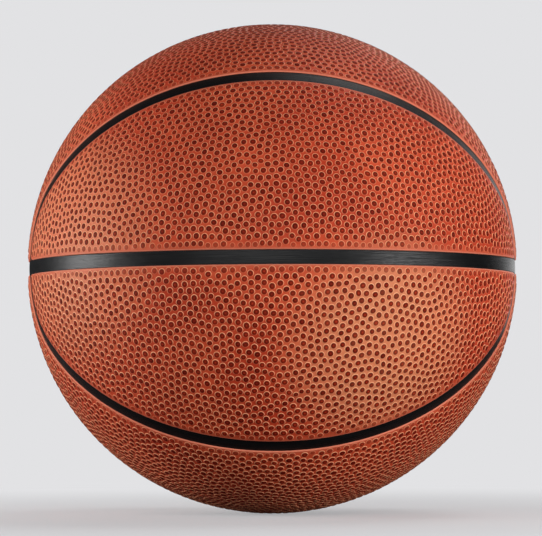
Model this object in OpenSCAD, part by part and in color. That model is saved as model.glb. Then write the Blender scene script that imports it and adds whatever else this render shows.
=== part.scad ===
// Basketball: a bladder, wound thread, a rubber carcass with black channel strips,
// eight foam backed cover panels and an inflation valve.
// The origin is the ball's centre and +Z is up. The level channel lies in the plane
// z = 0 and the upright channel in the plane y = 0. One oval channel goes round -Y,
// the front, and one round +Y, the back.

/* [Ball] */
// Diameter over the cover panels
ball_d = 239; // [225:0.5:250]
// Thickness of the pebbled cover sheet
cover_t = 1.2; // [0.9:0.1:2]
// Thickness of the foam backing under each cover panel
foam_t = 0.8; // [0.5:0.1:1.5]
// Thickness of the moulded rubber carcass
carcass_t = 1.1; // [0.6:0.1:2]
// Thickness of the layer of wound thread
winding_t = 0.5; // [0.3:0.1:1]
// Thickness of the bladder's wall
bladder_t = 0.7; // [0.5:0.1:1.5]
// Thickness of the cement between one layer or piece and the next
cement_t = 0.05; // [0.02:0.01:0.1]

/* [Channels] */
// Width of the channels between the panels
channel_w = 6.9; // [4:0.1:8]
// Thickness of the black rubber strip on a channel's floor
strip_t = 1; // [0.4:0.1:1.2]
// Width of the bevel along the outer edges of a cover panel
bevel_w = 0.6; // [0.3:0.1:0.8]
// Angle at the ball's centre from an oval's middle to its long sides
side_angle = 46.2; // [42:0.2:50]
// Angle at the ball's centre from an oval's middle to its ends
end_angle = 80; // [78:0.2:83]

/* [Valve] */
// Angle of the valve above the level channel, at the back
valve_angle = 23; // [18:1:28]
// Angle of the valve to the side of the panel's middle, toward -X
valve_turn = 2; // [1:0.5:10]
// Diameter of the valve's stem through the ball's wall
stem_d = 9.6; // [9:0.2:12]
// Depth of the stem's top face below the cover's surface
stem_sink = 0.6; // [0.3:0.1:0.9]
// Diameter of the valve's body inside the ball
body_d = 13; // [12.6:0.2:18]
// Reach of the valve's body below the bladder's inner face
body_l = 16; // [14:0.5:22]
// Thickness of the body's floor under the plug
floor_t = 2; // [1:0.2:3]
// Diameter of the flange bonded to the bladder
flange_d = 30; // [22:1:40]
// Thickness of the flange
flange_t = 1; // [0.6:0.1:2]
// Clearance between the plug and its seat
plug_gap = 0.05; // [0.02:0.01:0.1]

/* [Plug] */
// Diameter of the plug's shank
plug_d = 5.2; // [4.6:0.1:6]
// Diameter of the plug's head
head_d = 6.8; // [6.4:0.1:8]
// Thickness of the plug's head
head_t = 1.4; // [1:0.1:2]
// Diameter of the bulb that locks the plug in the body
bulb_d = 7; // [6.4:0.1:8]
// Length of the bulb
bulb_l = 4; // [3:0.5:5]
// Diameter of the needle hole
needle_d = 2; // [1.8:0.1:2.4]
// Depth of the needle hole, which ends in a closed slit
needle_l = 12; // [9:0.5:13]

/* [Hidden] */
$fn = 180;

// Every panel as its face, its half and its shape
PANELS = [
    for (face = ["front", "back"]) for (half = ["upper", "lower"])
        for (shape = ["oval", "strip"]) [face, half, shape]
];
function panel_name(layer, p) = str(layer, "_", p[0], "_", p[1], "_", p[2]);

RUBBER = [0.09, 0.09, 0.1];
BUTYL = [0.2, 0.2, 0.21];
THREAD = [0.86, 0.85, 0.8];
FOAM = [0.85, 0.8, 0.68];
COVER = [0.72, 0.27, 0.15];

// Radii between the layers, from the outside in
cover_r = ball_d / 2;
foam_r = cover_r - cover_t;
carcass_r = foam_r - foam_t;
strip_r = carcass_r + strip_t;
winding_r = carcass_r - carcass_t;
bladder_r = winding_r - winding_t;
air_r = bladder_r - bladder_t;

// Half the width of a channel and of its strip
half_w = channel_w / 2;
half_strip_w = half_w - cement_t;

// How far past the ball a cut runs, and where nothing of the ball is left
reach = cover_r + cover_t;
far = 2 * reach;

// An oval's long sides are parts of great circles, which lean this far from upright
lean_angle = 90 - side_angle;

// An oval's ends are parts of smaller circles about poles on the level plane. They
// cross the long sides at the small meet angle. The fan is half the sector about the
// pole in which an end is looked for.
meet_angle = 9;
rest_angle = 90 - end_angle;
side_share = cos(lean_angle) / cos(meet_angle);
pole_angle = atan((cos(rest_angle) - side_share) / sin(rest_angle));
end_circle_angle = end_angle - pole_angle;
fan_angle = atan(tan(lean_angle) / sin(pole_angle));

// The valve's flange is bonded to the bladder's inner face at this radius
seat_r = air_r - cement_t;

// Heights on the valve's axis, measured from the ball's centre
stem_top = cover_r - stem_sink;
head_bottom = stem_top - head_t;
needle_bottom = stem_top - needle_l;
body_bottom = air_r - body_l;
plug_bottom = body_bottom + floor_t;
bulb_top = plug_bottom + bulb_l;
bulb_taper = (bulb_d - plug_d) / 2;

// Layer between two spheres about the ball's centre
module shell(outer_r, inner_r) {
    difference() {
        sphere(r = outer_r);
        sphere(r = inner_r);
    }
}

// Point of a channel's wall, at a distance from the ball's centre. The wall is
// straight and parallel to the channel's middle, which leaves the axis at the angle.
function wall_point(angle, offset, r) =
    let (t = sqrt(r * r - offset * offset))
    [t * sin(angle) - offset * cos(angle), t * cos(angle) + offset * sin(angle)];

// Every direction around +Z inside a circle at the angle given, drawn in by an
// offset. The bevel leans the wall's outer end further in, or out where negative.
module cap(angle, offset, bevel) {
    foot = [0, offset / sin(angle)];
    low = wall_point(angle, offset, cover_r - abs(bevel));
    high = wall_point(angle, offset + bevel, cover_r);
    wall = bevel == 0
        ? [foot, wall_point(angle, offset, far)]
        : [foot, low, low + (high - low) * (bevel_w + cover_t) / bevel_w];
    rotate_extrude() polygon(concat(wall, [[far, far], [0, far]]));
}

// What the front oval's right end leaves out of the lens between its long sides
module end_corner(offset, bevel) {
    rotate([90, 0, 0]) rotate([0, pole_angle, 0]) difference() {
        rotate([0, 0, -fan_angle]) rotate_extrude(angle = 2 * fan_angle) square(far);
        cap(end_circle_angle, offset, bevel);
    }
}

// What its children have inside the front oval, drawn in by an offset
module inside_oval(offset, bevel) {
    intersection() {
        difference() {
            children();
            end_corner(offset, bevel);
            mirror([1, 0, 0]) end_corner(offset, bevel);
        }
        rotate([90 + lean_angle, 0, 0]) cap(90, offset, bevel);
        rotate([90 - lean_angle, 0, 0]) cap(90, offset, bevel);
    }
}

// What its children have outside the front oval
module outside_oval(offset, bevel) {
    difference() {
        children();
        inside_oval(offset, bevel) shell(reach, air_r);
    }
}

// Layer above the level channel
module upper_layer(outer_r, inner_r, bevel) {
    intersection() {
        shell(outer_r, inner_r);
        cap(90, half_w, bevel);
    }
}

// The same layer, in front of the upright channel too. Its sphere's seam is kept out
// of the piece by turning it.
module front_layer(outer_r, inner_r, bevel) {
    intersection() {
        rotate([90, 0, 0]) upper_layer(outer_r, inner_r, bevel);
        cap(90, half_w, bevel);
    }
}

// One layer of the front upper panel of a shape
module front_upper(shape, outer_r, inner_r, bevel) {
    if (shape == "oval")
        inside_oval(half_w, bevel) upper_layer(outer_r, inner_r, bevel);
    else
        outside_oval(-half_w, -bevel) front_layer(outer_r, inner_r, bevel);
}

// Turns its children from +Z to the valve's axis
module on_valve_axis() {
    rotate([0, 0, valve_turn]) rotate([valve_angle - 90, 0, 0]) children();
}

// Hole for the valve's stem through the layers
module stem_hole() {
    on_valve_axis() cylinder(d = stem_d + 2 * cement_t, h = reach);
}

// One layer of a panel, mirrored to its place. The back upper oval panel carries the
// valve's hole.
module panel_layer(p, outer_r, inner_r, bevel) {
    difference() {
        mirror([0, p[0] == "back" ? 1 : 0, 0]) mirror([0, 0, p[1] == "lower" ? 1 : 0])
            front_upper(p[2], outer_r, inner_r, bevel);
        if (p == ["back", "upper", "oval"]) stem_hole();
    }
}

module foam(p) {
    color(FOAM) panel_layer(p, foam_r, carcass_r + cement_t, 0);
}

module cover(p) {
    color(COVER) panel_layer(p, cover_r, foam_r + cement_t, bevel_w);
}

// Layer on the carcass that the channel strips are cut from
module strip_layer() {
    shell(strip_r, carcass_r + cement_t);
}

// Slab about the plane z = 0, half as thick as its height either way
module level_slab(half_height) {
    translate([-reach, -reach, -half_height])
        cube([2 * reach, 2 * reach, 2 * half_height]);
}

module channel_strip_level() {
    color(RUBBER) intersection() {
        strip_layer();
        level_slab(half_strip_w);
    }
}

// The upright strip butts against the level strip at both crossings
module channel_strip_upright() {
    color(RUBBER) difference() {
        rotate([90, 0, 0]) intersection() {
            strip_layer();
            level_slab(half_strip_w);
        }
        level_slab(half_w);
    }
}

// An oval's strip, in two halves that butt against the level strip
module channel_strip_oval() {
    color(RUBBER) difference() {
        outside_oval(half_strip_w, 0) inside_oval(-half_strip_w, 0) strip_layer();
        level_slab(half_w);
    }
}

module bladder() {
    color(BUTYL) difference() {
        shell(bladder_r, air_r);
        stem_hole();
    }
}

module thread_winding() {
    color(THREAD) difference() {
        shell(winding_r, bladder_r + cement_t);
        stem_hole();
    }
}

module carcass() {
    color(RUBBER) difference() {
        shell(carcass_r, winding_r + cement_t);
        stem_hole();
    }
}

// Outer form of the plug, a head, a shank and a bulb tapered at both ends, grown by
// a clearance where it cuts the plug's seat
module plug_form(gap) {
    shank = plug_d / 2 + gap;
    bulb = bulb_d / 2 + gap;
    head = head_d / 2 + gap;
    foot = plug_bottom - gap;
    rotate_extrude() polygon([
        [0, foot],
        [shank, foot],
        [bulb, plug_bottom + bulb_taper],
        [bulb, bulb_top - bulb_taper],
        [shank, bulb_top],
        [shank, head_bottom - gap],
        [head, head_bottom - gap],
        [head, stem_top + gap],
        [0, stem_top + gap]
    ]);
}

// Moulded valve body with its stem and flange, and the air port in its floor
module valve_housing() {
    color(RUBBER) on_valve_axis() difference() {
        union() {
            intersection() {
                shell(seat_r, seat_r - flange_t);
                cylinder(d = flange_d, h = reach);
            }
            intersection() {
                sphere(r = seat_r);
                translate([0, 0, body_bottom]) cylinder(d = body_d, h = body_l);
            }
            translate([0, 0, body_bottom]) cylinder(d = stem_d, h = stem_top - body_bottom);
        }
        plug_form(plug_gap);
        translate([0, 0, body_bottom - floor_t]) cylinder(d = needle_d, h = 2 * floor_t);
    }
}

module valve_plug() {
    color(BUTYL) on_valve_axis() difference() {
        plug_form(0);
        translate([0, 0, needle_bottom]) cylinder(d = needle_d, h = needle_l + cover_t);
    }
}

bladder();
thread_winding();
carcass();
channel_strip_level();
channel_strip_upright();
channel_strip_oval();  // channel_strip_front_oval
mirror([0, 1, 0]) channel_strip_oval();  // channel_strip_back_oval
for (p = PANELS) {
    foam(p);
    cover(p);
}
valve_housing();
valve_plug();
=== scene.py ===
"""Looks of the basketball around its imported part: cover panels, channel strips, valve and studio.

Lengths are in mm and angles in radians, unless a name or a comment says otherwise. The ball's
centre is the origin, and -Y faces the viewer.
"""

import logging
import math
from dataclasses import dataclass, field
from enum import Enum
from typing import Union

import bpy
import numpy as np
from bpy.types import Material, NodeSocket, Object, World
from mathutils import Matrix, Vector
from mathutils.geometry import delaunay_2d_cdt


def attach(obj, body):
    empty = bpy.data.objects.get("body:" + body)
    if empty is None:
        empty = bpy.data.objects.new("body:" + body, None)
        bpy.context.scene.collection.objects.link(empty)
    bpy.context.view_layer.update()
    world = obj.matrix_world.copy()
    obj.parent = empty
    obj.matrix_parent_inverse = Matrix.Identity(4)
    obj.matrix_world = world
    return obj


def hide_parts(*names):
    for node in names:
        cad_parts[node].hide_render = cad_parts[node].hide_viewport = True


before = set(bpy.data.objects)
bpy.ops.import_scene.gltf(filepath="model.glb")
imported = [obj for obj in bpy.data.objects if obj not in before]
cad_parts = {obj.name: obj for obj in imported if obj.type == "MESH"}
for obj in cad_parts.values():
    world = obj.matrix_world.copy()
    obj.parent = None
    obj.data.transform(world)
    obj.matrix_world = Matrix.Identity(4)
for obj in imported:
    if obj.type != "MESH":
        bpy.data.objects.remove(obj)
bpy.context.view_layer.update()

logging.basicConfig(level=logging.INFO, format="%(name)s: %(message)s")
log = logging.getLogger("basketball")

MM = 0.001

# The ball, its channels and the valve's hole
BALL_R = 119.5
CHANNEL_FLOOR_R = 118.5
WALL_FOOT_R = 117.85
HALF_CHANNEL = 3.3
VALVE_HOLE_R = 4.87
VALVE_ANGLE = math.radians(23.0)
VALVE_TURN = math.radians(2.0)

# An oval channel: its long sides lean SIDE from the oval's middle, its ends reach END from it. The
# ends are circles of END_CIRCLE about poles at POLE, each spanning FAN on both sides of the level.
SIDE = math.radians(46.2)
END = math.radians(80.0)
POLE = math.atan((math.sin(END) - math.sin(SIDE)) / math.cos(END))
END_CIRCLE = END - POLE
FAN = math.atan(1 / (math.tan(SIDE) * math.sin(POLE)))

# A cover panel: its ground, rounded edge and corners, and how it falls toward its edge
GROUND_R = 119.12
CORNER_R = 3.4
EDGE_W = 0.6
EDGE_H = 0.85
EDGE_TURNS = np.radians([0, 14, 28, 42, 56, 70, 81, 90])  # Of the rings on the quarter ellipse
FALL_H = 0.14
FALL_W = 6.0
LIP_IN, LIP_OUT = 0.5, 3.2  # Distances where the smooth margin is full, and where it ends
RIM_SPACING = 0.62
HOLE_SIDES = 72
WALL_STEP = 0.15  # Of a wall's middle line below the channel's floor
NET_CLOSE = 1e-7  # Points nearer than this would be merged
NET_PAST = 1e-4  # How far past the edge a triangle's middle may be

# Pebbles: one for each PEBBLE_AREA of the ball, with rings of vertices at shares of the foot's
# radius and heights as shares of the pebble's own
PEBBLE_AREA = 12.5
PEBBLE_H = 0.33
PEBBLE_SIDES = 10
FIRST_SEED, SEED_STEP = 11, 7
RING_SHARES = np.array([0.0, 0.45, 0.71, 0.86, 1.0])
RING_HEIGHTS = np.array([1.0, 0.94, 0.76, 0.32, 0.0])

# A channel strip, and the steps along each kind. The lines of the lower half differ from the upper
# half's, as if it lay OTHER_HALF further along.
HALF_STRIP = 3.4
STRIP_END = 3.45
STRIP_BOTTOM_R = 117.6
TOP_POINTS = 13
LEVEL_STEPS = 720
UPRIGHT_STEPS = 360
END_STEPS = 89
SIDE_STEPS = 239
OTHER_HALF = 700.0


class Face(Enum):
    """Side of the ball."""

    FRONT = "front"
    BACK = "back"


class Half(Enum):
    """Half of the ball, above or below the level channel."""

    UPPER = "upper"
    LOWER = "lower"


class Shape(Enum):
    """Outline of a cover panel."""

    OVAL = "oval"
    STRIP = "strip"


class Way(Enum):
    """The channel that a strip lies in."""

    LEVEL = "level"
    UPRIGHT = "upright"
    FRONT_OVAL = "front_oval"
    BACK_OVAL = "back_oval"


# A Pair is mostly a least and a greatest value, Lines a strip's directions and lengths along it.
Array = np.ndarray
Pair = tuple[float, float]
Colour = tuple[float, float, float, float]
Lines = list[tuple[Array, Array]]


# ---- forms ----


def unit(v: Array) -> Array:
    """Unit vectors v / |v| of vectors in the last axis."""
    return v / np.linalg.norm(v, axis=-1, keepdims=True)


def direction(azimuth: float, elevation: float) -> Vector:
    """Unit vector at degrees round from the front, positive to the right, and above the level."""
    a, e = math.radians(azimuth), math.radians(elevation)
    return Vector((math.sin(a) * math.cos(e), -math.cos(a) * math.cos(e), math.sin(e)))


def smoothstep(low: float, high: float, x: Array) -> Array:
    """Smooth step, 3 t^2 - 2 t^3 of t = (x - low) / (high - low) held in 0 to 1."""
    t = np.clip((x - low) / (high - low), 0.0, 1.0)
    return t * t * (3 - 2 * t)


def rounded_min(a: Array, b: Array, r: float) -> Array:
    """Distance to two walls whose corner is rounded: r - hypot(r - a, r - b) where both are nearer
    than r, otherwise the smaller of the two.
    """
    corner = r - np.hypot(np.maximum(r - a, 0), np.maximum(r - b, 0))
    return np.where((a < r) & (b < r), corner, np.minimum(a, b))


def oval_distance(q: Array) -> Array:
    """Signed distance, positive inside, from the middle line of an oval channel.

    Directions are (x, m, z), with m toward the oval's middle. The long sides are great circles that
    lean SIDE from m, R asin(q . n). The ends are small circles about poles at POLE from m,
    R (END_CIRCLE - acos(q . p)), used beyond the plane through p and n.

    Args:
        q: Directions in the upper half.

    Returns:
        Distances.
    """
    x, m, z = np.abs(q[..., 0]), q[..., 1], q[..., 2]
    side = np.arcsin(np.clip(m * math.sin(SIDE) - z * math.cos(SIDE), -1, 1))
    along = np.clip(x * math.sin(POLE) + m * math.cos(POLE), -1, 1)
    end = END_CIRCLE - np.arccos(along)
    beyond = (
        x * math.cos(POLE) * math.cos(SIDE)
        - m * math.sin(POLE) * math.cos(SIDE)
        - z * math.sin(POLE) * math.sin(SIDE)
    )
    return BALL_R * np.where(beyond > 0, end, side)


@dataclass
class Outline:
    """Outline of a cover panel in the upper front quarter, with directions as (x, m, z)."""

    shape: Shape
    hole: bool = False  # Whether the valve's hole is cut in it

    SLOPE_STEP = 2e-4
    SETTLE_STEPS = 3
    RIM_RAYS = 3000  # Along each side of the spine, and round each of its ends
    RIM_HALVINGS = 40
    RIM_REACH = 1.2  # Angle of the chart that lies beyond every edge
    SPINE_ANGLE = math.radians(4.5)
    SPINE_HALF = {Shape.OVAL: math.radians(70), Shape.STRIP: math.radians(80)}

    @property
    def valve_axis(self) -> Array:
        """Direction of the valve's axis as (x, m, z)."""
        flat = math.cos(VALVE_ANGLE)
        across, onward = -math.sin(VALVE_TURN) * flat, math.cos(VALVE_TURN) * flat
        return np.array([across, onward, math.sin(VALVE_ANGLE)])

    def distance(self, q: Array) -> Array:
        """Distance to the panel's edge, positive inside, with rounded corners.

        Args:
            q: Directions.

        Returns:
            Distances.
        """
        level = BALL_R * np.arcsin(np.clip(q[..., 2], -1, 1)) - HALF_CHANNEL
        if self.shape is Shape.OVAL:
            d = rounded_min(oval_distance(q) - HALF_CHANNEL, level, CORNER_R)
        else:
            upright = BALL_R * np.arcsin(np.clip(q[..., 1], -1, 1)) - HALF_CHANNEL
            d = rounded_min(-oval_distance(q) - HALF_CHANNEL, level, CORNER_R)
            d = rounded_min(d, upright, CORNER_R)
        if self.hole:
            d = np.minimum(d, self.hole_distance(q))
        return d

    def hole_distance(self, q: Array) -> Array:
        """Distances from the rim of the valve's hole, R acos(q . axis) - its radius."""
        angle = np.arccos(np.clip(q @ self.valve_axis, -1, 1))
        return BALL_R * angle - VALVE_HOLE_R

    def inward(self, q: Array) -> Array:
        """Unit tangents toward the inside, from central differences of the distance.

        Args:
            q: Directions.

        Returns:
            Tangents.
        """
        axes = np.eye(3) * self.SLOPE_STEP
        rises = [self.distance(unit(q + a)) - self.distance(unit(q - a)) for a in axes]
        slope = np.stack(rises, -1)
        return unit(slope - q * np.sum(slope * q, -1, keepdims=True))

    def settle(self, q: Array, d: float) -> Array:
        """Moves directions along the slope of the distance to where it is d, in a few steps of
        q + (d - f(q)) g / R.

        Args:
            q: Directions near the line wanted.
            d: Distance from the edge.

        Returns:
            Directions on the line.
        """
        for _ in range(self.SETTLE_STEPS):
            q = unit(q + self.inward(q) * ((d - self.distance(q)) / BALL_R)[..., None])
        return q

    def chart(self, u: Array, v: Array) -> Array:
        """Directions from angles u along a panel and v across it from its straight channel."""
        a, b, c = np.cos(v) * np.sin(u), np.cos(v) * np.cos(u), np.sin(v)
        return np.stack([a, b, c] if self.shape is Shape.OVAL else [a, c, b], -1)

    def rim(self) -> Array:
        """Evenly spaced directions along the edge. Rays in the chart start on a spine near the
        straight channel and fan out at both of its ends, each is halved again and again to where it
        meets the edge, and the line through those meets is sampled at equal lengths.

        Returns:
            Directions, in order.
        """
        share = np.linspace(0, 1, self.RIM_RAYS, endpoint=False)
        rest = 0 * share
        ways = [1 - 2 * share, rest - 1, 2 * share - 1, rest + 1]
        start_u = self.SPINE_HALF[self.shape] * np.concatenate(ways)
        turn = np.pi * np.concatenate([rest + 0.5, share + 0.5, rest + 1.5, share + 1.5])
        low, high = np.zeros_like(turn), np.full_like(turn, self.RIM_REACH)
        for _ in range(self.RIM_HALVINGS):
            mid = (low + high) / 2
            q = self.chart(start_u + mid * np.cos(turn), self.SPINE_ANGLE + mid * np.sin(turn))
            inside = self.distance(q) > 0
            low, high = np.where(inside, mid, low), np.where(inside, high, mid)
        loop = np.vstack([q, q[:1]])
        steps = np.linalg.norm(np.diff(loop, axis=0), axis=1)
        length = np.concatenate([[0], np.cumsum(steps)])
        count = int(round(length[-1] * BALL_R / RIM_SPACING))
        want = np.linspace(0, length[-1], count, endpoint=False)
        even = np.stack([np.interp(want, length, loop[:, k]) for k in range(3)], -1)
        return self.settle(unit(even), 0.0)

    def hole_rim(self) -> Array:
        """Evenly spaced directions round the valve's hole, a cos h + (s cos t + o sin t) sin h for
        the axis a, its normals s and o and the hole's angle h.

        Returns:
            Directions, in order.
        """
        axis = self.valve_axis
        side = unit(np.cross(axis, np.array([0.0, 0.0, 1.0])))
        other = np.cross(axis, side)
        turn = np.linspace(0, 2 * np.pi, HOLE_SIDES, endpoint=False)[:, None]
        ring = np.cos(turn) * side + np.sin(turn) * other
        angle = VALVE_HOLE_R / BALL_R
        return axis * math.cos(angle) + ring * math.sin(angle)


def edge_drop(d: Array) -> Array:
    """Depth of the cover below its ground near an edge: a quarter ellipse,
    EDGE_H (1 - sqrt(1 - (1 - d / EDGE_W)^2)), with a slow fall of the panel toward its edge added.

    Args:
        d: Distances to the edge.

    Returns:
        Depths.
    """
    t = np.clip(1 - d / EDGE_W, 0, 1)
    fall = FALL_H * (1 - smoothstep(0, FALL_W, d))
    return EDGE_H * (1 - np.sqrt(np.maximum(1 - t * t, 0))) + fall


@dataclass(frozen=True)
class Scatter:
    """Even but irregular spread of a panel's pebbles."""

    shake: float = 1.3  # How far each point of the spiral is shaken
    first_clear: float = 1.5  # Clearance from the edge that a point needs at the start
    # Least and greatest clearance that a pebble's centre keeps at the end
    clear: Pair = (1.95, 3.0)
    spread: float = 5.2  # Spacing under which two points push each other
    rounds: int = 36  # Times that all points are moved
    pace: float = 0.55  # Share of the full push that a move takes
    crowd: float = 1.6  # Neighbours that push at once

    def centres(self, outline: Outline, seed: int) -> Array:
        """Centres of the pebbles. An even spiral of points, turned and shaken at random, is
        relaxed: each point is pushed by its neighbours with (1 - s / S)^2 for a spacing s under S,
        and kept clear of the edge.

        Args:
            outline: The panel's outline.
            seed: Seed of the panel's own random numbers.

        Returns:
            Directions of the centres.
        """
        rng = np.random.default_rng(seed)
        count = int(4 * math.pi * BALL_R**2 / PEBBLE_AREA)
        k = np.arange(count) + 0.5
        z = 1 - 2 * k / count
        turn = k * math.pi * (3 - math.sqrt(5))
        flat = np.sqrt(1 - z * z)
        q = np.stack([flat * np.cos(turn), flat * np.sin(turn), z], -1)
        spin, _ = np.linalg.qr(rng.normal(size=(3, 3)))
        q = unit(q @ spin + rng.normal(scale=self.shake / BALL_R, size=q.shape))
        q = q[(q[:, 1] > 0) & (q[:, 2] > 0)]
        q = q[outline.distance(q) > self.first_clear]
        edge = rng.uniform(*self.clear, len(q))
        spread = self.spread / BALL_R
        for _ in range(self.rounds):
            p = q.astype(np.float32)
            gap = np.sqrt(np.maximum(2 - 2 * (p @ p.T), 1e-12))
            push = np.where(gap < spread, (1 - gap / spread) ** 2 / gap, 0)
            np.fill_diagonal(push, 0)
            move = q * push.sum(1)[:, None] - push @ p
            q = unit(q + self.pace * spread * move / self.crowd)
            near = edge - outline.distance(q)
            q = unit(q + outline.inward(q) * (np.maximum(near, 0) / BALL_R)[:, None])
        return q


def nearest(q: Array) -> Array:
    """Distance from each direction to its nearest neighbour, R sqrt(2 - 2 max(q . q')).

    Args:
        q: Directions.

    Returns:
        Distances.
    """
    close = q @ q.T
    np.fill_diagonal(close, -1)
    return BALL_R * np.sqrt(np.maximum(2 - 2 * close.max(1), 0))


def facing(verts: Array, faces: Array, way: Array | None = None) -> Array:
    """Faces turned so that each one's normal (b - a) x (c - a), for its first two corners a and b
    and its last corner c, leads the way wanted.

    Args:
        verts: Vertices.
        faces: Triangles or quads.
        way: The way wanted of each, or none for away from the ball's centre.

    Returns:
        The faces.
    """
    a, b, c = (verts[faces[:, k]] for k in (0, 1, -1))
    wrong = np.sum(np.cross(b - a, c - a) * (a if way is None else way), axis=1) < 0
    faces = faces.copy()
    faces[wrong] = faces[wrong][:, ::-1]
    return faces


def add_mesh(
    name: str,
    verts: Array,
    faces: Array,
    material: Material,
    values: dict[str, Array] | None = None,
) -> Object:
    """Adds a smooth mesh object at the origin.

    Args:
        name: Object's name.
        verts: Vertices in mm.
        faces: Faces, all with the same number of corners.
        material: Its material.
        values: Float attributes of the vertices.

    Returns:
        The object.
    """
    mesh = bpy.data.meshes.new(name)
    sides = faces.shape[1]
    mesh.vertices.add(len(verts))
    mesh.vertices.foreach_set("co", (verts * MM).astype(np.float32).ravel())
    mesh.loops.add(faces.size)
    mesh.loops.foreach_set("vertex_index", faces.astype(np.int32).ravel())
    mesh.polygons.add(len(faces))
    starts = np.arange(0, faces.size, sides, dtype=np.int32)
    mesh.polygons.foreach_set("loop_start", starts)
    mesh.polygons.foreach_set("use_smooth", np.ones(len(faces), dtype=bool))
    for key, data in (values or {}).items():
        attribute = mesh.attributes.new(key, "FLOAT", "POINT")
        attribute.data.foreach_set("value", data.astype(np.float32))
    mesh.materials.append(material)
    mesh.update(calc_edges=True)
    mesh.validate()
    obj = bpy.data.objects.new(name, mesh)
    bpy.context.scene.collection.objects.link(obj)
    log.info("%s: %d faces", name, len(faces))
    return obj


# ---- shaders ----

Operand = Union["Sock", float, tuple]


class Sock:
    """An output socket with arithmetic that makes the nodes for it."""

    def __init__(self, web: "Web", value: NodeSocket | None) -> None:
        """Takes the web that it belongs to and the socket, or none for a node without outputs."""
        self.web = web
        self.value = value

    def _math(self, operation: str, *terms: Operand) -> "Sock":
        """A Math node on the terms."""
        return self.web.node("Math", {"operation": operation}, dict(enumerate(terms)))

    def __add__(self, other: Operand) -> "Sock":
        """self + other."""
        return self._math("ADD", self, other)

    def __rsub__(self, other: Operand) -> "Sock":
        """other - self."""
        return self._math("SUBTRACT", other, self)

    def __mul__(self, other: Operand) -> "Sock":
        """self * other."""
        return self._math("MULTIPLY", self, other)

    def step(self, low: float, high: float) -> "Sock":
        """Smooth step of the value from low to high."""
        settings = {"interpolation_type": "SMOOTHSTEP"}
        inputs = {0: self, 1: low, 2: high, 3: 0.0, 4: 1.0}
        return self.web.node("MapRange", settings, inputs)

    def spread(self, low: float, high: float) -> "Sock":
        """The value from 0 to 1 spread evenly from low to high."""
        inputs = {0: self, 1: 0.0, 2: 1.0, 3: low, 4: high}
        return self.web.node("MapRange", {}, inputs)


class Web:
    """Nodes of one material, or of the world."""

    def __init__(self, owner: Material | World) -> None:
        """Starts with no nodes.

        Args:
            owner: The material or world.
        """
        self.owner = owner
        owner.use_nodes = True
        self.tree = owner.node_tree
        self.tree.nodes.clear()

    def node(self, kind: str, settings: dict, inputs: dict, output: int | str = 0) -> Sock:
        """Makes a node.

        Args:
            kind: Its type, without the ShaderNode that all types start with.
            settings: Its properties.
            inputs: Values or links of its input sockets, by name or number.
            output: The output wanted.

        Returns:
            That output.
        """
        made = self.tree.nodes.new("ShaderNode" + kind)
        for key, value in settings.items():
            setattr(made, key, value)
        for key, value in inputs.items():
            if isinstance(value, Sock):
                self.tree.links.new(value.value, made.inputs[key])
            else:
                made.inputs[key].default_value = value
        return Sock(self, made.outputs[output] if made.outputs else None)

    def value(self, name: str) -> Sock:
        """A float attribute of the vertices."""
        return self.node("Attribute", {"attribute_name": name}, {}, "Fac")

    def place(self) -> Sock:
        """Object coordinates, in metres."""
        return self.node("TexCoord", {}, {}, "Object")

    def direct(self) -> Sock:
        """1 for what the camera sees directly, otherwise 0."""
        return self.node("LightPath", {}, {}, "Is Camera Ray")

    def dot(self, vector: Sock, other: tuple[float, float, float]) -> Sock:
        """The dot product of two vectors."""
        settings = {"operation": "DOT_PRODUCT"}
        return self.node("VectorMath", settings, {0: vector, 1: other}, "Value")

    def length(self, vector: Sock) -> Sock:
        """The length of a vector."""
        return self.node("VectorMath", {"operation": "LENGTH"}, {0: vector}, "Value")

    def joined(self, x: Operand, y: Operand, z: Operand) -> Sock:
        """A vector from three values."""
        return self.node("CombineXYZ", {}, {0: x, 1: y, 2: z})

    def noise(self, vector: Sock, scale: float, detail: float = 2.0, rough: float = 0.5) -> Sock:
        """Noise from 0 to 1 about 0.5."""
        inputs = {"Vector": vector, "Scale": scale, "Detail": detail, "Roughness": rough}
        return self.node("TexNoise", {"normalize": True}, inputs, "Fac")

    def mix(self, share: Operand, a: Operand, b: Operand) -> Sock:
        """A colour mixed from two."""
        return self.node("Mix", {"data_type": "RGBA"}, {0: share, 6: a, 7: b}, 2)

    def bump(self, height: Sock, distance: float, strength: float) -> Sock:
        """A normal shaken by a height given in distances, which are in metres."""
        inputs = {"Height": height, "Distance": distance, "Strength": strength}
        return self.node("Bump", {}, inputs)

    def principled(self, inputs: dict) -> Sock:
        """A Principled shader."""
        return self.node("BsdfPrincipled", {}, inputs)

    def blend(self, share: Operand, a: Sock, b: Sock) -> Sock:
        """A shader mixed from two."""
        return self.node("MixShader", {}, {0: share, 1: a, 2: b})

    def finish(self, surface: Sock, kind: str = "OutputMaterial") -> None:
        """Ends the nodes in an output of the kind given."""
        self.node(kind, {}, {"Surface": surface})


def rgb(r: float, g: float, b: float) -> Colour:
    """A linear colour from display values of 0 to 255, c / 12.92 or ((c + 0.055) / 1.055)^2.4."""
    shares = (v / 255 for v in (r, g, b))
    return (*(c / 12.92 if c <= 0.04045 else ((c + 0.055) / 1.055) ** 2.4 for c in shares), 1.0)


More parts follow.
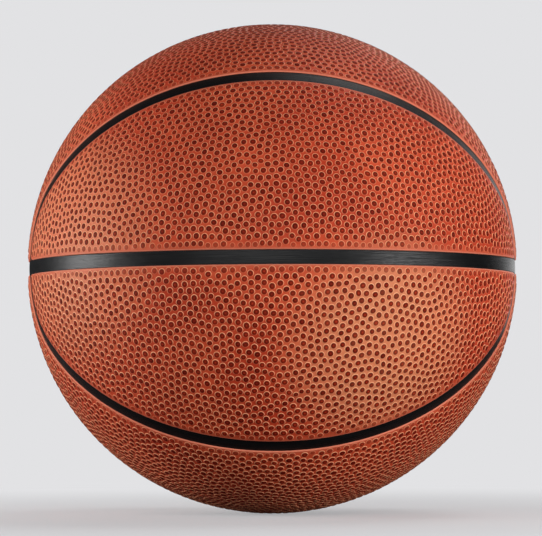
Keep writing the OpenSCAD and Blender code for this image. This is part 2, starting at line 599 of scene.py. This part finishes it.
@dataclass(frozen=True)
class CoverFinish:
    """Pebbled composite cover. Its vertices carry ring, 0 at a pebble's middle and 1 at its foot
    and beyond, fade, how full the pebble is, tone, its own random value, highlight_side, 1 on its
    upper side and 0 on its lower, and lip, 1 along the panel's edge. Highlights are painted on the
    pebbles' upper flanks and the middles of their tops, along the panels' outermost edges, and in
    broad tan pools on the ground.
    """

    ground: Colour = rgb(214, 82, 50)  # Colour between the pebbles
    ground_dark: Colour = rgb(186, 56, 32)  # Its darker blotches
    rim: Colour = rgb(255, 184, 138)  # Painted highlight on a pebble's flank, on its upper side
    top: Colour = rgb(90, 0, 0)  # A pebble's top
    top_tone_and_highlight: Colour = rgb(184, 50, 22)  # Lighter colour of a pebble's top: its random tone, and a painted highlight in its middle
    edge: Colour = rgb(206, 94, 66)  # The panel's smooth margin
    edge_highlight: Colour = rgb(238, 150, 122)  # Painted highlight along the panel's outermost edge
    sheen: Colour = (1.0, 0.74, 0.5, 1.0)  # Tint of the highlights
    painted_highlight: Colour = rgb(232, 158, 112)  # Pale tan of the painted highlights on the ground
    # Azimuth and elevation in degrees of each painted highlight, the cosine of the angle where it
    # ends, and its strength
    painted_highlight_spots: tuple = (
        (27.0, -19.0, 0.88, 0.66),
        (-55.0, 4.0, 0.84, 0.44),
        (110.0, 24.0, 0.88, 0.3),
        (198.0, -10.0, 0.88, 0.4),
    )
    blotches: Pair = (0.3, 0.7)  # Noise where the blotches start and are full
    painted_highlight_share: Pair = (0.6, 1.3)  # Least and greatest share of a painted highlight, by the blotches
    edge_share: float = 0.75  # How much of the margin's colour shows
    edge_highlight_start: float = 0.975  # Where the painted highlight along the outermost edge starts, along lip
    edge_highlight_share: float = 0.55  # How much of its colour shows
    rim_highlight_start: Pair = (0.75, 0.84)  # Where the painted highlight on a flank starts, along ring
    rim_highlight_end: Pair = (0.92, 1.0)  # Where it ends
    rim_highlight_side: Pair = (-0.2, 0.75)  # Where round the pebble the painted highlight shows, along highlight_side
    top_end: Pair = (0.72, 0.83)  # Where the dark top ends, along ring
    middle_highlight_end: Pair = (0.05, 0.34)  # Where the painted highlight in the top's middle ends, along ring
    top_fade: Pair = (0.1, 1.0)  # Least and greatest share of the top's colours, by fade
    middle_highlight_tone: Pair = (0.3, 0.9)  # Least and greatest share of that painted highlight, by tone
    tone_share: float = 0.25  # How much a top's tone lightens the rest of it
    blotch_scale: float = 26.0  # Blotches in a metre
    grain_scale: float = 900.0  # Grains in a metre
    grain_dark: Pair = (0.35, 0.75)  # Grain where its dark side starts and is full
    grain_share: float = 0.16  # How much that darkens the cover
    grain_depth: float = 0.00012  # Depth of the leather's grain in metres
    grain_strength: float = 0.5
    roughness: Pair = (0.42, 0.54)  # Least and greatest roughness of the ground
    dull: float = 0.26  # How much rougher the pebbles' tops are
    specular: float = 0.22  # Strength of the highlights

    def make(self) -> Material:
        """Makes the material.

        Returns:
            The material.
        """
        web = Web(bpy.data.materials.new("cover_composite"))
        ring, fade, tone, highlight_side, lip = (web.value(n) for n in ("ring", "fade", "tone", "highlight_side", "lip"))
        place = web.place()
        blotch = web.noise(place, self.blotch_scale, 3.0)
        grain = web.noise(place, self.grain_scale, 3.0, 0.6)
        ground = web.mix(blotch.step(*self.blotches), self.ground, self.ground_dark)
        # Painted highlights: broad pale tan pools, each round a direction on the ball
        for azimuth, elevation, reach, strength in self.painted_highlight_spots:
            toward = direction(azimuth, elevation) / (BALL_R * MM)
            near = web.dot(place, tuple(toward)).step(reach, 1.0)
            share = near * blotch.spread(*self.painted_highlight_share) * strength
            ground = web.mix(share, ground, self.painted_highlight)
        ground = web.mix(lip * self.edge_share, ground, self.edge)
        # Painted highlight: a thin pale line along the panel's outermost edge
        edge_highlight_mask = lip.step(self.edge_highlight_start, 1.0) * self.edge_highlight_share
        ground = web.mix(edge_highlight_mask, ground, self.edge_highlight)
        # Painted highlight: a pale rim on the upper flank of each pebble
        rim_highlight_mask = ring.step(*self.rim_highlight_start) * (1 - ring.step(*self.rim_highlight_end))
        colour = web.mix(rim_highlight_mask * fade * highlight_side.step(*self.rim_highlight_side), ground, self.rim)
        top_share = (1 - ring.step(*self.top_end)) * fade.spread(*self.top_fade)
        # Painted highlight in the middle of each pebble's top, of a random strength; tone also
        # lightens the whole top
        middle = (1 - ring.step(*self.middle_highlight_end)) * tone.spread(*self.middle_highlight_tone)
        top = web.mix(tone * self.tone_share + middle, self.top, self.top_tone_and_highlight)
        colour = web.mix(top_share, colour, top)
        dark = grain.step(*self.grain_dark) * self.grain_share
        colour = web.mix(dark, colour, self.ground_dark)
        inputs = {
            "Base Color": colour,
            "Roughness": grain.spread(*self.roughness) + top_share * self.dull,
            "Normal": web.bump(grain, self.grain_depth, self.grain_strength),
            "Specular IOR Level": self.specular,
            "Specular Tint": self.sheen,
        }
        web.finish(web.principled(inputs))
        return web.owner


@dataclass(frozen=True)
class StripFinish:
    """Satin black rubber with fine lengthwise lines. Its vertices carry along and across, their
    places along the strip and across it in mm.
    """

    dark: Colour = rgb(5, 5, 6)  # Colour between the lines
    light: Colour = rgb(20, 21, 23)  # Colour of the lines
    shaded: Colour = (0.0, 0.0, 0.0, 1.0)  # Colour at the strip's sides, in the panels' shade
    line_step: Pair = (0.35, 0.7)  # Noise where a line starts and is full
    line_share: float = 0.7  # How much of the lines' colour shows on a line
    wide_share: float = 0.2  # How much of it the wider streaks add
    side: Pair = (8.9, 10.6)  # Squares of across where the sides start and end
    side_share: float = 0.9  # How much of their colour shows
    line_grain: Pair = (0.035, 2.2)  # Scales of the lines along and across
    wide_grain: Pair = (0.012, 0.5)  # Scales of the wider streaks along and across
    line_depth: float = 0.00025  # Depth of the lines in metres
    line_strength: float = 0.7
    roughness: Pair = (0.26, 0.42)  # Least and greatest roughness of the top
    dull: float = 0.45  # How much rougher the sides are
    specular: float = 0.22  # Strength of the highlights

    def make(self) -> Material:
        """Makes the material.

        Returns:
            The material.
        """
        web = Web(bpy.data.materials.new("channel_rubber"))
        along, across = web.value("along"), web.value("across")
        (a, b), (c, d) = self.line_grain, self.wide_grain
        lines = web.noise(web.joined(along * a, across * b, 0.0), 1.0, 4.0, 0.6)
        wide = web.noise(web.joined(along * c, across * d, 4.0), 1.0, 2.0)
        side = (across * across).step(*self.side)
        share = lines.step(*self.line_step) * self.line_share + wide * self.wide_share
        colour = web.mix(share, self.dark, self.light)
        inputs = {
            "Base Color": web.mix(side * self.side_share, colour, self.shaded),
            "Roughness": lines.spread(*self.roughness) + side * self.dull,
            "Normal": web.bump(lines, self.line_depth, self.line_strength),
            "Specular IOR Level": self.specular,
        }
        web.finish(web.principled(inputs))
        return web.owner


@dataclass(frozen=True)
class PlainFinish:
    """A plain material with a fine grain, for what lies inside the ball and for the valve."""

    name: str
    colour: Colour
    roughness: float
    shade: float = 0.8  # How dark its darker grains are, as a share of the colour
    uneven: float = 0.06  # How far the roughness strays
    grain_scale: float = 700.0  # Grains in a metre
    grain_depth: float = 0.0001  # Depth of the grain in metres
    grain_strength: float = 0.4

    def make(self) -> Material:
        """Makes the material.

        Returns:
            The material.
        """
        web = Web(bpy.data.materials.new(self.name))
        grain = web.noise(web.place(), self.grain_scale, 3.0)
        dark = tuple(self.shade * c for c in self.colour[:3]) + (1.0,)
        inputs = {
            "Base Color": web.mix(grain, self.colour, dark),
            "Roughness": grain.spread(self.roughness - self.uneven, self.roughness + self.uneven),
            "Normal": web.bump(grain, self.grain_depth, self.grain_strength),
        }
        web.finish(web.principled(inputs))
        return web.owner


# ---- pieces ----


@dataclass
class CoverPanel:
    """One cover panel: pebbles, ground between them, rounded edge and walls down to the channel."""

    face: Face
    half: Half
    shape: Shape
    seed: int
    material: Material
    outline: Outline = field(init=False)
    shape_seed: int = 1000  # Added to the seed for the pebbles' own shapes
    foot: Pair = (1.1, 1.85)  # Least and greatest radius of a pebble's foot
    foot_share: float = 0.49  # A foot's radius as a share of the spacing
    foot_gap: float = 0.03  # Least gap between a foot and the rounded edge
    full_foot: float = 1.6  # Foot radius from which a pebble has its full height
    fade_clear: Pair = (0.9, 3.4)  # Clearances from the edge between which pebbles fade
    fade_least: float = 0.88  # Least share of its fullness that a pebble has by chance
    # Least share of its height that a pebble has by chance, and by a small foot
    low: Pair = (0.85, 0.3)
    wobble: float = 0.045  # How far a pebble strays from round
    # Direction that the first spoke of each pebble is square to
    start: tuple[float, float, float] = (0.31, -0.2, 0.93)

    def __post_init__(self) -> None:
        """Finds the outline. The valve's hole is in the upper half oval at the back."""
        hole = (self.face, self.half, self.shape) == (Face.BACK, Half.UPPER, Shape.OVAL)
        self.outline = Outline(self.shape, hole)

    @property
    def node(self) -> str:
        """Name of the CAD node that it stands for."""
        return f"cover_{self.face.value}_{self.half.value}_{self.shape.value}"

    @property
    def flip(self) -> Array:
        """Signs that bring (x, m, z) to this panel's own quarter of the ball."""
        front, lower = self.face is Face.FRONT, self.half is Half.LOWER
        return np.array([1.0, -1.0 if front else 1.0, -1.0 if lower else 1.0])

    def flat(self, q: Array) -> list[list[float]]:
        """Plane positions of directions about the panel's middle c, stereographic:
        2 R (q - (q . c) c) / (1 + q . c).

        Args:
            q: Directions.

        Returns:
            Points of the plane.
        """
        lean = SIDE / 2 if self.shape is Shape.OVAL else (math.pi / 2 + SIDE) / 2
        c = np.array([0.0, math.cos(lean), math.sin(lean)])
        e = np.array([0.0, -math.sin(lean), math.cos(lean)])
        scale = 2 * BALL_R / (1 + q @ c)
        return np.stack([q[:, 0] * scale, q @ e * scale], -1).tolist()

    def pebbles(self) -> tuple[Array, Array, dict[str, Array]]:
        """Rings of vertices round each pebble's centre. Ring k has radius s_k a, for a foot radius
        a and a share s_k, and height H h_k, with h_k falling from 1 at the top to 0 at the foot.

        Returns:
            Directions of shape (pebbles, points of each, 3), their radii, and attributes.
        """
        rng = np.random.default_rng(self.seed + self.shape_seed)
        centre = Scatter().centres(self.outline, self.seed)
        clear = self.outline.distance(centre)
        room = clear - EDGE_W - self.foot_gap
        foot = np.minimum(np.clip(self.foot_share * nearest(centre), *self.foot), room)
        chance = rng.uniform(self.fade_least, 1.0, len(centre))
        fade = smoothstep(*self.fade_clear, clear) * chance
        east = unit(np.cross(np.array(self.start), centre))
        north = np.cross(centre, east)
        rings = len(RING_SHARES) - 1
        ring = np.concatenate([[0], np.repeat(np.arange(rings) + 1, PEBBLE_SIDES)])
        sides = np.tile(np.arange(PEBBLE_SIDES), rings)
        turn = np.concatenate([[0.0], sides * 2 * np.pi / PEBBLE_SIDES])
        turn = turn[None, :] + rng.uniform(0, 2 * np.pi, len(centre))[:, None]
        wobble = 1 + self.wobble * rng.normal(size=(len(centre), 1)) * np.cos(2 * turn)
        wide = foot[:, None] * RING_SHARES[ring][None, :]
        wide = wide * np.where(ring == rings, 1, wobble) / BALL_R
        spoke = np.cos(turn)[..., None] * east[:, None] + np.sin(turn)[..., None] * north[:, None]
        q = unit(centre[:, None] + wide[..., None] * spoke)
        # How far each spoke points up the ball, which puts the painted highlight on a pebble's
        # upper side
        rise = unit(np.array([0.0, 0.0, 1.0]) - centre * centre[:, 2:]) * self.flip[2]
        highlight_side = np.where(ring > 0, np.sum(spoke * rise[:, None], axis=-1), 0.0)
        chance = rng.uniform(self.low[0], 1.0, len(centre))
        tall = PEBBLE_H * fade * chance * np.clip(foot / self.full_foot, self.low[1], 1)
        ground = GROUND_R - edge_drop(self.outline.distance(q))
        tone = rng.random(len(centre))[:, None]
        values = {
            "ring": np.broadcast_to(RING_SHARES[ring], q.shape[:2]),
            "fade": np.broadcast_to(fade[:, None], q.shape[:2]),
            "tone": np.broadcast_to(tone, q.shape[:2]),
            "highlight_side": 0.5 + 0.5 * highlight_side,
        }
        return q, ground + tall[:, None] * RING_HEIGHTS[ring][None, :], values

    @staticmethod
    def pebble_faces(first: Array) -> Array:
        """Triangles of the pebbles: a fan round each centre and bands from ring to ring.

        Args:
            first: Numbers of the centres.

        Returns:
            Triangles.
        """
        first = first[:, None]
        k = np.arange(PEBBLE_SIDES)
        after = (k + 1) % PEBBLE_SIDES
        faces = [np.stack([first + 0 * k, first + 1 + k, first + 1 + after], -1)]
        for ring in range(len(RING_SHARES) - 2):
            a, b = first + 1 + ring * PEBBLE_SIDES, first + 1 + (ring + 1) * PEBBLE_SIDES
            faces.append(np.stack([a + k, b + k, b + after], -1))
            faces.append(np.stack([a + k, b + after, a + after], -1))
        return np.concatenate([f.reshape(-1, 3) for f in faces])

    def net(self, q: Array, ids: Array, owner: Array) -> Array:
        """Delaunay triangles of the ground, without those inside a pebble's foot or outside the
        panel.

        Args:
            q: Directions of all points.
            ids: Numbers of the points that the net joins.
            owner: The pebble that each point belongs to, or -1.

        Returns:
            Triangles.
        """
        flat = [Vector(p) for p in self.flat(q[ids])]
        out = delaunay_2d_cdt(flat, [], [], 0, NET_CLOSE, False)
        if len(out[0]) != len(ids):
            log.warning("%s: net merged %d points", self.node, len(ids) - len(out[0]))
        net = ids[np.array(out[2], dtype=np.int64)]
        a, b, c = owner[net].T
        in_foot = (a == b) & (b == c) & (a >= 0)
        inside = self.outline.distance(unit(q[net].mean(axis=1))) > -NET_PAST
        return net[~in_foot & inside]

    def build(self) -> None:
        """Builds the panel's mesh. The ground between the pebbles' feet and the edge's rings is a
        Delaunay net, fans and bands fill the pebbles, and bands go down the walls.
        """
        outline = self.outline
        q_peb, r_peb, values = self.pebbles()
        count = r_peb.size
        own = np.arange(count).reshape(r_peb.shape)
        q, radius = [q_peb.reshape(-1, 3)], [r_peb.ravel()]
        net_ids, walls = [own[:, -PEBBLE_SIDES:].ravel()], []
        depths = EDGE_W * (1 - np.cos(EDGE_TURNS))
        radii = [*(GROUND_R - edge_drop(depths)), CHANNEL_FLOOR_R - WALL_STEP, WALL_FOOT_R]
        for rim in [outline.rim()] + ([outline.hole_rim()] if outline.hole else []):
            way = outline.inward(rim)
            rings = [outline.settle(unit(rim + way * (d / BALL_R)), d) for d in depths[1:]]
            ids = count + np.arange(len(radii) * len(rim)).reshape(len(radii), -1)
            count += ids.size
            q.append(np.concatenate([rim, *rings, rim, rim]))
            radius.append(np.repeat(radii, len(rim)))
            net_ids.append(ids[:-2].ravel())
            for top, low in (ids[[0, -2]], ids[-2:]):
                walls.append(np.stack([top, np.roll(top, -1), np.roll(low, -1), low], -1))
        q = np.concatenate(q)
        owner = np.full(count, -1)
        owner[own] = np.arange(len(own))[:, None]
        verts = q * np.concatenate(radius)[:, None] * self.flip
        net = self.net(q, np.concatenate(net_ids), owner)
        faces = facing(verts, np.concatenate([net, self.pebble_faces(own[:, 0])]))
        quads = np.concatenate(walls)
        sides = np.concatenate([quads[:, [0, 1, 2]], quads[:, [0, 2, 3]]])
        sides = facing(verts, sides, -outline.inward(q[sides].mean(axis=1)) * self.flip)
        data = {"lip": 1 - smoothstep(LIP_IN, LIP_OUT, outline.distance(q))}
        for key, value in values.items():
            data[key] = np.full(count, 1.0 if key == "ring" else 0.0)
            data[key][own] = value
        faces = np.concatenate([faces, sides])
        piece = add_mesh(f"vis_{self.node}", verts, faces, self.material, data)
        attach(piece, "root")
        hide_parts(self.node, self.node.replace("cover", "foam"))


@dataclass
class ChannelStrip:
    """The rubber strips of one channel."""

    way: Way
    material: Material
    clearance: float = 0.02  # How far the top lies below the channel's floor line
    corner: float = 0.2  # Width and height of the worn corner at each side of the top
    # Distance across and down from the sharp corner to the middle of the worn one
    shoulder: Pair = (0.07, 0.06)
    wear: float = 0.05  # How far the top's sides are worn below its middle

    @property
    def node(self) -> str:
        """Name of the CAD node that it stands for."""
        return f"channel_strip_{self.way.value}"

    def section(self) -> tuple[Array, Array]:
        """Offsets across and radii round the strip's section: upright sides, worn corners, and a
        top that rises by wear cos(pi x / 2 flat) to its middle.

        Returns:
            Offsets and radii.
        """
        flat = HALF_STRIP - self.corner
        top = np.linspace(-flat, flat, TOP_POINTS)
        left = np.array([-HALF_STRIP, -HALF_STRIP, self.shoulder[0] - HALF_STRIP])
        high = CHANNEL_FLOOR_R - self.clearance
        rise = np.array([STRIP_BOTTOM_R, high - self.corner, high - self.shoulder[1]])
        worn = self.wear * np.cos(top / flat * math.pi / 2)
        across = np.concatenate([left, top, -left[::-1]])
        radii = np.concatenate([rise, high - self.wear + worn, rise[::-1]])
        return across, radii

    def level_line(self, b: Array) -> Lines:
        """The level strip, (cos b cos t, cos b sin t, sin b) for the angle t along it.

        Args:
            b: Angles across.

        Returns:
            Directions and lengths of its one piece, a closed ring.
        """
        t = np.linspace(0, 2 * np.pi, LEVEL_STEPS + 1)[:, None]
        q = np.stack([np.cos(b) * np.cos(t), np.cos(b) * np.sin(t), np.sin(b) + 0 * t], -1)
        return [(q, CHANNEL_FLOOR_R * (t + 0 * b))]

    def upright_line(self, b: Array) -> Lines:
        """The upright strip's halves, (cos b cos t, sin b, cos b sin t) from where z is STRIP_END.

        Args:
            b: Angles across.

        Returns:
            Directions and lengths of the upper half and the lower.
        """
        start = np.arcsin(STRIP_END / CHANNEL_FLOOR_R / np.cos(b))
        t = start + (np.pi - 2 * start) * np.linspace(0, 1, UPRIGHT_STEPS + 1)[:, None]
        q = np.stack([np.cos(b) * np.cos(t), np.sin(b) + 0 * t, np.cos(b) * np.sin(t)], -1)
        length = CHANNEL_FLOOR_R * (t + 0 * b)
        return [(q * np.array([1, 1, s]), length + OTHER_HALF * (s < 0)) for s in (1, -1)]

    def oval_line(self, b: Array) -> Lines:
        """An oval strip's halves: an end circle, a long side and an end circle. An end is
        cos r p + sin r (cos t o + sin t z) for its angle r about the pole p, with t from where z is
        STRIP_END to FAN. A side is sin -b n + cos -b (sin t x + cos t a), about the normal n of its
        plane, with a its middle.

        Args:
            b: Angles across.

        Returns:
            Directions and lengths of the upper half and the lower.
        """
        pole = np.array([math.sin(POLE), math.cos(POLE), 0.0])
        out = np.array([math.cos(POLE), -math.sin(POLE), 0.0])
        ring = END_CIRCLE + b
        start = np.arcsin(STRIP_END / CHANNEL_FLOOR_R / np.sin(ring))
        share = np.linspace(0, 1, END_STEPS + 1)[:, None]
        t = (start + (FAN - start) * share)[..., None]
        ring = ring[..., None]
        fan = np.cos(t) * out + np.sin(t) * np.array([0.0, 0.0, 1.0])
        end = np.cos(ring) * pole + np.sin(ring) * fan
        normal = np.array([0.0, math.sin(SIDE), -math.cos(SIDE)])
        middle = np.array([0.0, math.cos(SIDE), math.sin(SIDE)])
        tilt = math.asin(math.sin(SIDE) * math.cos(POLE))
        half = math.asin(np.clip(math.sin(POLE) / math.cos(tilt), -1, 1))
        t = np.linspace(half, -half, SIDE_STEPS + 1)[1:-1, None, None]
        lean = -b[..., None]
        arc = np.sin(t) * np.array([1.0, 0, 0]) + np.cos(t) * middle
        side = np.sin(lean) * normal + np.cos(lean) * arc
        q = np.concatenate([end, side, end[::-1] * np.array([-1.0, 1, 1])])
        core = q[:, q.shape[1] // 2]
        steps = np.linalg.norm(np.diff(core, axis=0), axis=1)
        length = (np.concatenate([[0], np.cumsum(steps)]) * CHANNEL_FLOOR_R)[:, None] + 0 * b
        m = -1.0 if self.way is Way.FRONT_OVAL else 1.0
        return [(q * np.array([1, m, s]), length + OTHER_HALF * (s < 0)) for s in (1, -1)]

    @staticmethod
    def skin(p: Array, closed: bool) -> Array:
        """Faces of a strip, closed round its section and at its ends, turned outwards.

        Args:
            p: Vertices of shape (along, across, 3).
            closed: Whether it is a ring without ends.

        Returns:
            Quads.
        """
        n, m = p.shape[:2]
        flat = p.reshape(-1, 3)
        ids = np.arange(n * m).reshape(n, m)
        a = ids if closed else ids[:-1]
        b = np.roll(ids, -1, 0) if closed else ids[1:]
        quads = np.stack([a, np.roll(a, -1, 1), np.roll(b, -1, 1), b], -1).reshape(-1, 4)
        middle = p[:, [0, -1, m // 2]].mean(axis=1)
        heart = np.repeat(middle[: len(a)], m, axis=0)
        quads = facing(flat, quads, flat[quads].mean(axis=1) - heart)
        if closed:
            return quads
        j = np.arange((m - 2) // 2)
        for end, inner in ((0, 1), (-1, -2)):
            row = ids[end]
            cap = np.stack([row[j], row[j + 1], row[m - 2 - j], row[m - 1 - j]], -1)
            quads = np.concatenate([quads, facing(flat, cap, middle[end] - middle[inner])])
        return quads

    def build(self) -> None:
        """Builds the strips' mesh."""
        across, radii = self.section()
        b = across[None, :] / CHANNEL_FLOOR_R
        lines = {Way.LEVEL: self.level_line, Way.UPRIGHT: self.upright_line}
        closed = self.way is Way.LEVEL
        verts, faces, along, base = [], [], [], 0
        for q, length in lines.get(self.way, self.oval_line)(b):
            if closed:
                q, length = q[:-1], length[:-1]
            p = q * radii[None, :, None]
            faces.append(self.skin(p, closed) + base)
            verts.append(p.reshape(-1, 3))
            along.append(length.ravel())
            base += length.size
        rows = base // len(across)
        values = {"along": np.concatenate(along), "across": np.tile(across, rows)}
        verts, faces = np.concatenate(verts), np.concatenate(faces)
        piece = add_mesh(f"vis_{self.node}", verts, faces, self.material, values)
        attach(piece, "root")
        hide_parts(self.node)


@dataclass(frozen=True)
class InnerPieces:
    """The CAD nodes that stay as they are: valve, bladder, thread winding, carcass and foam."""

    # Finishes by the start of a node's name
    finishes: tuple = (
        ("valve", PlainFinish("valve_rubber_look", rgb(30, 30, 32), 0.5)),
        ("bladder", PlainFinish("bladder_look", rgb(52, 52, 55), 0.55)),
        ("thread", PlainFinish("thread_look", rgb(220, 216, 204), 0.8)),
        ("carcass", PlainFinish("carcass_look", rgb(34, 34, 36), 0.6)),
        ("foam", PlainFinish("foam_look", rgb(216, 204, 173), 0.85)),
    )

    def dress(self) -> None:
        """Gives the nodes their materials."""
        for start, finish in self.finishes:
            material = finish.make()
            for name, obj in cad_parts.items():
                if name.startswith(start):
                    obj.data.materials.clear()
                    obj.data.materials.append(material)
                    log.info("%s: %s", name, material.name)


# ---- studio ----


@dataclass(frozen=True)
class SoftBox:
    """A square area light that faces the ball."""

    name: str
    azimuth: float  # Degrees round the ball from the front, positive to the right
    elevation: float  # Degrees above the ball's middle
    distance: float  # Metres
    size: float  # Metres along a side
    power: float  # Watts

    def build(self) -> None:
        """Adds the light."""
        light = bpy.data.lights.new(self.name, "AREA")
        light.energy, light.size = self.power, self.size
        obj = bpy.data.objects.new(self.name, light)
        obj.location = direction(self.azimuth, self.elevation) * self.distance
        obj.rotation_euler = (-obj.location).to_track_quat("-Z", "Y").to_euler()
        bpy.context.scene.collection.objects.link(obj)


@dataclass(frozen=True)
class Studio:
    """Camera, lights, floor and surroundings. The camera's place is given as a light's."""

    azimuth: float = -0.7
    elevation: float = -2.7
    roll: float = -0.23  # Degrees that the camera is turned about its axis
    radii: float = 12.0  # Distance in radii of the ball
    lens: float = 194.6
    sensor: float = 36.0
    shift: Pair = (-1.3, 1.0)  # Pixels from the ball's middle to the picture's, right and up
    picture_w: float = 542.0  # The picture's width in pixels
    clip: Pair = (0.05, 60.0)  # Nearest and farthest distance seen, in metres
    backdrop: Colour = rgb(226, 226, 228)  # Colour behind the ball
    paper_seen: Colour = rgb(238, 238, 240)  # Colour of the floor as the camera sees it
    paper_lit: Colour = rgb(96, 96, 96)  # Colour of the floor as its light falls back on the ball
    # Distances in metres between which the floor fades into the backdrop
    fading: Pair = (0.14, 0.5)
    near_share: float = 0.45  # Backdrop's share in the floor beside the ball
    floor_r: float = 2600.0
    floor_gap: float = 0.02  # How far the floor lies below the ball
    floor_sides: int = 96
    glow: Colour = rgb(235, 235, 238)  # Colour of the light from all round
    glow_strength: float = 0.06
    boxes: tuple = (
        SoftBox("front_box", azimuth=-8, elevation=2, distance=1.6, size=1.5, power=20.5),
        SoftBox("left_box", azimuth=-91, elevation=-1, distance=1.0, size=0.48, power=10),
        SoftBox("right_box", azimuth=57, elevation=-4, distance=0.95, size=0.26, power=7.6),
        SoftBox("rear_box", azimuth=165, elevation=15, distance=1.5, size=1.4, power=10),
        SoftBox("back_box", azimuth=130, elevation=64, distance=1.3, size=0.6, power=3.4),
    )

    def camera(self) -> None:
        """Adds the camera at the photograph's angle."""
        data = bpy.data.cameras.new("camera")
        data.lens, data.sensor_width = self.lens, self.sensor
        data.shift_x, data.shift_y = (pixels / self.picture_w for pixels in self.shift)
        data.clip_start, data.clip_end = self.clip
        obj = bpy.data.objects.new("camera", data)
        obj.location = direction(self.azimuth, self.elevation) * (self.radii * BALL_R * MM)
        turn = (-obj.location).to_track_quat("-Z", "Y").to_matrix()
        roll = Matrix.Rotation(math.radians(self.roll), 3, "Z")
        obj.rotation_euler = (turn @ roll).to_euler()
        bpy.context.scene.collection.objects.link(obj)
        bpy.context.scene.camera = obj

    def floor(self) -> None:
        """Adds the floor, a wide disc that fades into the backdrop."""
        web = Web(bpy.data.materials.new("floor_paper"))
        direct = web.direct()
        far = web.length(web.place()).step(*self.fading)
        paper = web.mix(direct, self.paper_lit, self.paper_seen)
        matt = {"Base Color": paper, "Roughness": 1.0, "Specular IOR Level": 0.0}
        glow = web.node("Emission", {}, {"Color": self.backdrop, "Strength": 1.0})
        share = far * (1 - self.near_share) + self.near_share
        web.finish(web.blend(share * direct, web.principled(matt), glow))
        t = np.linspace(0, 2 * np.pi, self.floor_sides, endpoint=False)
        outer = self.floor_r * np.stack([np.cos(t), np.sin(t), 0 * t], -1)
        verts = np.concatenate([[[0, 0, 0]], outer])
        verts = verts + np.array([0, 0, -BALL_R - self.floor_gap])
        k = np.arange(self.floor_sides)
        faces = np.stack([0 * k, 1 + k, 1 + (k + 1) % self.floor_sides], -1)
        add_mesh("floor", verts, faces, web.owner)

    def world(self) -> None:
        """Sets the surroundings: a soft even light, and the backdrop behind the ball."""
        web = Web(bpy.data.worlds.new("studio"))
        bpy.context.scene.world = web.owner
        kind = "Background"
        even = web.node(kind, {}, {"Color": self.glow, "Strength": self.glow_strength})
        seen = web.node(kind, {}, {"Color": self.backdrop, "Strength": 1.0})
        web.finish(web.blend(web.direct(), even, seen), "OutputWorld")

    def build(self) -> None:
        """Builds the studio."""
        self.camera()
        self.floor()
        self.world()
        for box in self.boxes:
            box.build()
        bpy.context.scene.view_settings.view_transform = "Standard"


def main() -> None:
    """Builds the ball's looks and the studio."""
    cover, rubber = CoverFinish().make(), StripFinish().make()
    seed = FIRST_SEED
    for face in Face:
        for half in Half:
            for shape in Shape:
                CoverPanel(face, half, shape, seed, cover).build()
                seed += SEED_STEP
    for way in Way:
        ChannelStrip(way, rubber).build()
    InnerPieces().dress()
    Studio().build()


if __name__ == "__main__":
    main()
